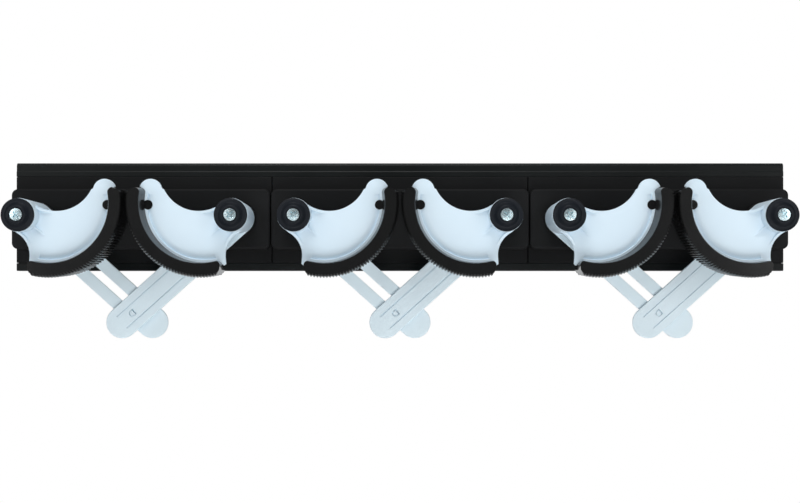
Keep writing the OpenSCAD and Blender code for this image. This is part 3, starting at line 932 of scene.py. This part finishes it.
def modelArm(sizes, node):
    back, front = depthsOf(node)
    view, through = turnedView(-armSlope), front - back + 2 * overcut
    pivot = place(-pivotX, back, 0)
    behind = place(-pivotX, back - overcut, 0)
    arm = slab("armModel", view, pivot, *stadium(0, sizes["length"], sizes["half"]), front - back)
    keyHole = slab("keyHole", view, behind, *circleMoves(sizes["keyRadius"]), through)
    flats = slab("flats", view, behind, *rectangle((-sizes["keyReach"], -sizes["keyHalf"]),
                                                   (sizes["keyReach"], sizes["keyHalf"])), through)
    combine(keyHole, flats, "INTERSECT")
    combine(arm, keyHole, "DIFFERENCE")
    if node.startswith("arm_left"):
        slot = slab("slot", view, behind,
                    *stadium(sizes["slotStart"], sizes["slotEnd"], sizes["slotHalf"]), through)
        combine(arm, slot, "DIFFERENCE")
        return soften(arm, sizes["edge"], 3, 40)
    soften(arm, sizes["edge"], 3, 40)
    hookX = sizes["length"] - sizes["hookBack"]
    slit = slab("slit", view, place(-pivotX, back + sizes["slitFloor"], 0),
                *rectangle((hookX, -sizes["hookWidth"] / 2),
                           (hookX + sizes["hookSlit"], sizes["hookWidth"] / 2)), front - back)
    combine(arm, slit, "DIFFERENCE")
    floor = front - sizes["grooveDepth"]
    hookFloor = front - sizes["hookDepth"]
    for offset in (-sizes["grooveOffset"], sizes["grooveOffset"]):
        groove = slab("groove", view, place(-pivotX, floor, 0),
                      *rectangle((sizes["grooveStart"], offset - sizes["grooveWidth"] / 2),
                                 (sizes["length"], offset + sizes["grooveWidth"] / 2)), overcut)
        combine(arm, groove, "DIFFERENCE")
    # U-shaped line that leads from the slit towards the arm's end
    reach, line = sizes["hookWidth"] / 2, sizes["hookLine"]
    bend = hookX + sizes["hookSlit"] + sizes["hookStraight"]
    hook = slab("hook", view, place(-pivotX, hookFloor, 0), (hookX, reach),
                [("line", (bend, reach)), ("arc", (bend, 0), -180), ("line", (hookX, -reach)),
                 ("line", (hookX, -reach + line)), ("line", (bend, -reach + line)),
                 ("arc", (bend, 0), 180), ("line", (hookX, reach - line)), ("line", (hookX, reach))], overcut)
    combine(arm, hook, "DIFFERENCE")
    return arm


for side in ("left", "right"):
    armModel = modelArm(armSizes, f"arm_{side}_2")
    for unit in units:
        arm = copyPiece(armModel, f"crossArm_{side}_{unit}", unitShift(unit), side == "right")
        finishPiece(arm, finishes["armWhite"], f"jaw_{side}_{unit}", f"arm_{side}_{unit}")
    bpy.data.objects.remove(armModel)
print("arms made")

# Knobs and screws
knobSizes = {
    "radius": 10.1,
    "rim": 2,
    "edge": 0.6,
    "backEdge": 0.5,
    "ringShift": 0.1,
    "ringFall": 0.2,
    "boss": 7.2,
    "lean": 1.4,            # how far the boss narrows towards its top
    "bossRound": 0.8,
    "bossTurn": 78,
    "well": 4.2,
    "wellEdge": 0.35,
    "wellLean": 0.15,
    "seat": 3,
    "hole": 2.0,
}
screwSizes = {
    "radius": 3.7,
    "height": 1.8,
    "crown": 0.3,
    "shank": 1.9,
    "tip": 0.4,
    "headEdge": 0.15,
    "slotHalf": 0.48,
    "slotReach": 2.6,
    "slotDepth": 1.5,
    "slotAbove": 0.3,
    "slotTaper": 0.55,
    "tick": 0.2,
    "tickStart": 1.2,
    "tickEnd": 3.1,
    "tickDepth": 0.5,
}


def modelKnob(sizes):
    back, front = depthsOf("knob_left_2")
    radius, edge, rim = sizes["radius"], sizes["edge"], back + sizes["rim"]
    boss, well, bend = sizes["boss"], sizes["well"], sizes["bossRound"]
    backEdge, wellEdge = sizes["backEdge"], sizes["wellEdge"]
    ringMiddle = (boss + radius - edge) / 2 + sizes["ringShift"]
    ringHalf = radius - edge - ringMiddle
    fall = sizes["ringFall"]
    ringRadius = (ringHalf ** 2 + fall ** 2) / (2 * fall)
    ringTurn = 2 * math.degrees(math.asin(ringHalf / ringRadius))
    moves = [("line", (radius - backEdge, back)),
             ("arc", (radius - backEdge, back + backEdge), 90),
             ("line", (radius, rim - edge)),
             ("arc", (radius - edge, rim - edge), 90),
             ("arc", (ringMiddle, rim + ringRadius - fall), -ringTurn),
             ("line", (boss - sizes["lean"], front - bend)),
             ("arc", (boss - sizes["lean"] - bend, front - bend), sizes["bossTurn"]),
             ("line", (well + wellEdge, front)),
             ("arc", (well + wellEdge, front - wellEdge), 90),
             ("line", (well - sizes["wellLean"], back + sizes["seat"])),
             ("line", (sizes["hole"], back + sizes["seat"])),
             ("line", (sizes["hole"], back))]
    return turned("knobModel", place(-pivotX, 0, 0), (sizes["hole"], back), moves)


def modelScrew(sizes):
    tip, front = depthsOf("screw_left_2")
    seat = front - sizes["height"]
    radius, shank, crown = sizes["radius"], sizes["shank"], sizes["crown"]
    point, headEdge, above, taper = sizes["tip"], sizes["headEdge"], sizes["slotAbove"], sizes["slotTaper"]
    crownRadius = (radius ** 2 + crown ** 2) / (2 * crown)
    crownTurn = math.degrees(math.asin(radius / crownRadius))
    moves = [("line", (shank - point, tip)),
             ("line", (shank, tip + point)),
             ("line", (shank, seat)),
             ("line", (radius - headEdge, seat)),
             ("arc", (radius - headEdge, seat + headEdge), 90),
             ("line", (radius, front - crown)),
             ("arc", (0, front - crownRadius), crownTurn)]
    screw = turned("screwModel", place(-pivotX, 0, 0), (0, tip), moves)
    # Cross recess that narrows inwards
    half, reach = sizes["slotHalf"], sizes["slotReach"]
    corners = [(half, half), (half, reach), (-half, reach), (-half, half), (-reach, half), (-reach, -half),
               (-half, -half), (-half, -reach), (half, -reach), (half, -half), (reach, -half), (reach, half)]
    cross = drawOutline("crossRecess", turnedView(45), place(-pivotX, front + above, 0), corners[-1],
                        [("line", corner) for corner in corners])
    bpy.ops.mesh.edge_face_add()
    depth = sizes["slotDepth"] + above
    bpy.ops.mesh.extrude_region_move(TRANSFORM_OT_translate={"value": (0, depth * mm, 0)})
    bpy.ops.transform.resize(value=(taper, 1, taper), center_override=place(-pivotX, front - depth, 0))
    closeSolid(cross)
    combine(screw, cross, "DIFFERENCE")
    # Tick marks between the slots
    for turn in (0, 90, 180, 270):
        tick = slab("tick", turnedView(turn), place(-pivotX, front - sizes["tickDepth"], 0),
                    *rectangle((sizes["tickStart"], -sizes["tick"] / 2),
                               (sizes["tickEnd"], sizes["tick"] / 2)), overcut)
        combine(screw, tick, "DIFFERENCE")
    return screw


knobModel = modelKnob(knobSizes)
screwModel = modelScrew(screwSizes)
for side in ("left", "right"):
    for unit in units:
        knob = copyPiece(knobModel, f"clampKnob_{side}_{unit}", unitShift(unit), side == "right")
        finishPiece(knob, finishes["knobBlack"], "rail_and_bases", f"knob_{side}_{unit}")
        screw = copyPiece(screwModel, f"knobScrew_{side}_{unit}", unitShift(unit), side == "right")
        finishPiece(screw, finishes["screwZinc"], "rail_and_bases", f"screw_{side}_{unit}", 30)
bpy.data.objects.remove(knobModel)
bpy.data.objects.remove(screwModel)
print("knobs and screws made")

# Floor, far below the rail
stageSizes = {"floorDrop": 0.9, "floorSize": 8, "colour": (0.82, 0.82, 0.82, 1), "roughness": 0.8}
clearSelection()
bpy.ops.mesh.primitive_plane_add(size=stageSizes["floorSize"], location=(0, 0, -stageSizes["floorDrop"]))
floor = bpy.context.object
floor.name = "floor"
bpy.ops.object.transform_apply(location=True, rotation=True, scale=True)
floorPaint = bpy.data.materials.new("floorPaint")
floorPaint.use_nodes = True
paintShader = floorPaint.node_tree.nodes["Principled BSDF"]
paintShader.inputs["Base Color"].default_value = stageSizes["colour"]
paintShader.inputs["Roughness"].default_value = stageSizes["roughness"]
floor.data.materials.append(floorPaint)

# The room is dim in front of the rail, bright behind and below it, and white to the camera
roomSizes = {"colour": (0.96, 0.985, 1.0, 1), "bright": (0, 0.8, -0.6), "front": 0.15, "back": 0.95,
             "turnStart": -0.2, "turnEnd": 0.5, "seenColour": (1, 1, 1, 1), "seenStrength": 1.0}
world = bpy.data.worlds.new("studio")
bpy.context.scene.world = world
world.use_nodes = True
worldNodes, worldLinks = world.node_tree.nodes, world.node_tree.links
roomLight = worldNodes["Background"]
roomLight.inputs["Color"].default_value = roomSizes["colour"]
direction = worldNodes.new("ShaderNodeTexCoord")
towardsBright = worldNodes.new("ShaderNodeVectorMath")
towardsBright.operation = "DOT_PRODUCT"
towardsBright.inputs[1].default_value = roomSizes["bright"]
depthRamp = worldNodes.new("ShaderNodeMapRange")
depthRamp.interpolation_type = "SMOOTHSTEP"
for label, key in (("From Min", "turnStart"), ("From Max", "turnEnd"),
                   ("To Min", "front"), ("To Max", "back")):
    depthRamp.inputs[label].default_value = roomSizes[key]
worldLinks.new(direction.outputs["Generated"], towardsBright.inputs[0])
worldLinks.new(towardsBright.outputs["Value"], depthRamp.inputs["Value"])
worldLinks.new(depthRamp.outputs["Result"], roomLight.inputs["Strength"])
whiteRoom = worldNodes.new("ShaderNodeBackground")
whiteRoom.inputs["Color"].default_value = roomSizes["seenColour"]
whiteRoom.inputs["Strength"].default_value = roomSizes["seenStrength"]
lightPath = worldNodes.new("ShaderNodeLightPath")
chooseRoom = worldNodes.new("ShaderNodeMixShader")
worldLinks.new(lightPath.outputs["Is Camera Ray"], chooseRoom.inputs["Fac"])
worldLinks.new(roomLight.outputs["Background"], chooseRoom.inputs[1])
worldLinks.new(whiteRoom.outputs["Background"], chooseRoom.inputs[2])
worldLinks.new(chooseRoom.outputs["Shader"], worldNodes["World Output"].inputs["Surface"])

# Lamps: one high in front, one at either side and one below
lamps = {
    "keyLamp": {"place": (-0.1, -0.62, 1.3), "size": 0.8, "power": 12.6},
    "leftLamp": {"place": (-0.95, -1.15, 0.25), "size": 0.8, "power": 4},
    "rightLamp": {"place": (0.95, -1.15, 0.1), "size": 0.8, "power": 4},
    "lowLamp": {"place": (0.1, -1.2, -0.85), "size": 1.1, "power": 13.5},
}
lampTarget = Vector((0, -0.05, -0.02))
for name, lamp in lamps.items():
    clearSelection()
    bpy.ops.object.light_add(type="AREA", location=lamp["place"])
    light = bpy.context.object
    light.name = name
    light.data.shape = "DISK"
    light.data.size = lamp["size"]
    light.data.energy = lamp["power"]
    light.rotation_euler = (lampTarget - light.location).to_track_quat("-Z", "Y").to_euler()

# The camera's lens and sensor are millimetres
cameraSizes = {"place": (0, -0.8222, -0.0424), "lens": 56.2, "sensor": 36, "shift": 0.0419, "nearest": 0.01}
clearSelection()
bpy.ops.object.camera_add(location=cameraSizes["place"], rotation=(math.radians(90), 0, 0))
camera = bpy.context.object
camera.name = "photoCamera"
camera.data.lens = cameraSizes["lens"]
camera.data.sensor_width = cameraSizes["sensor"]
camera.data.shift_y = cameraSizes["shift"]
camera.data.clip_start = cameraSizes["nearest"]
bpy.context.scene.camera = camera
bpy.context.scene.view_settings.view_transform = "Standard"
print("stage set")
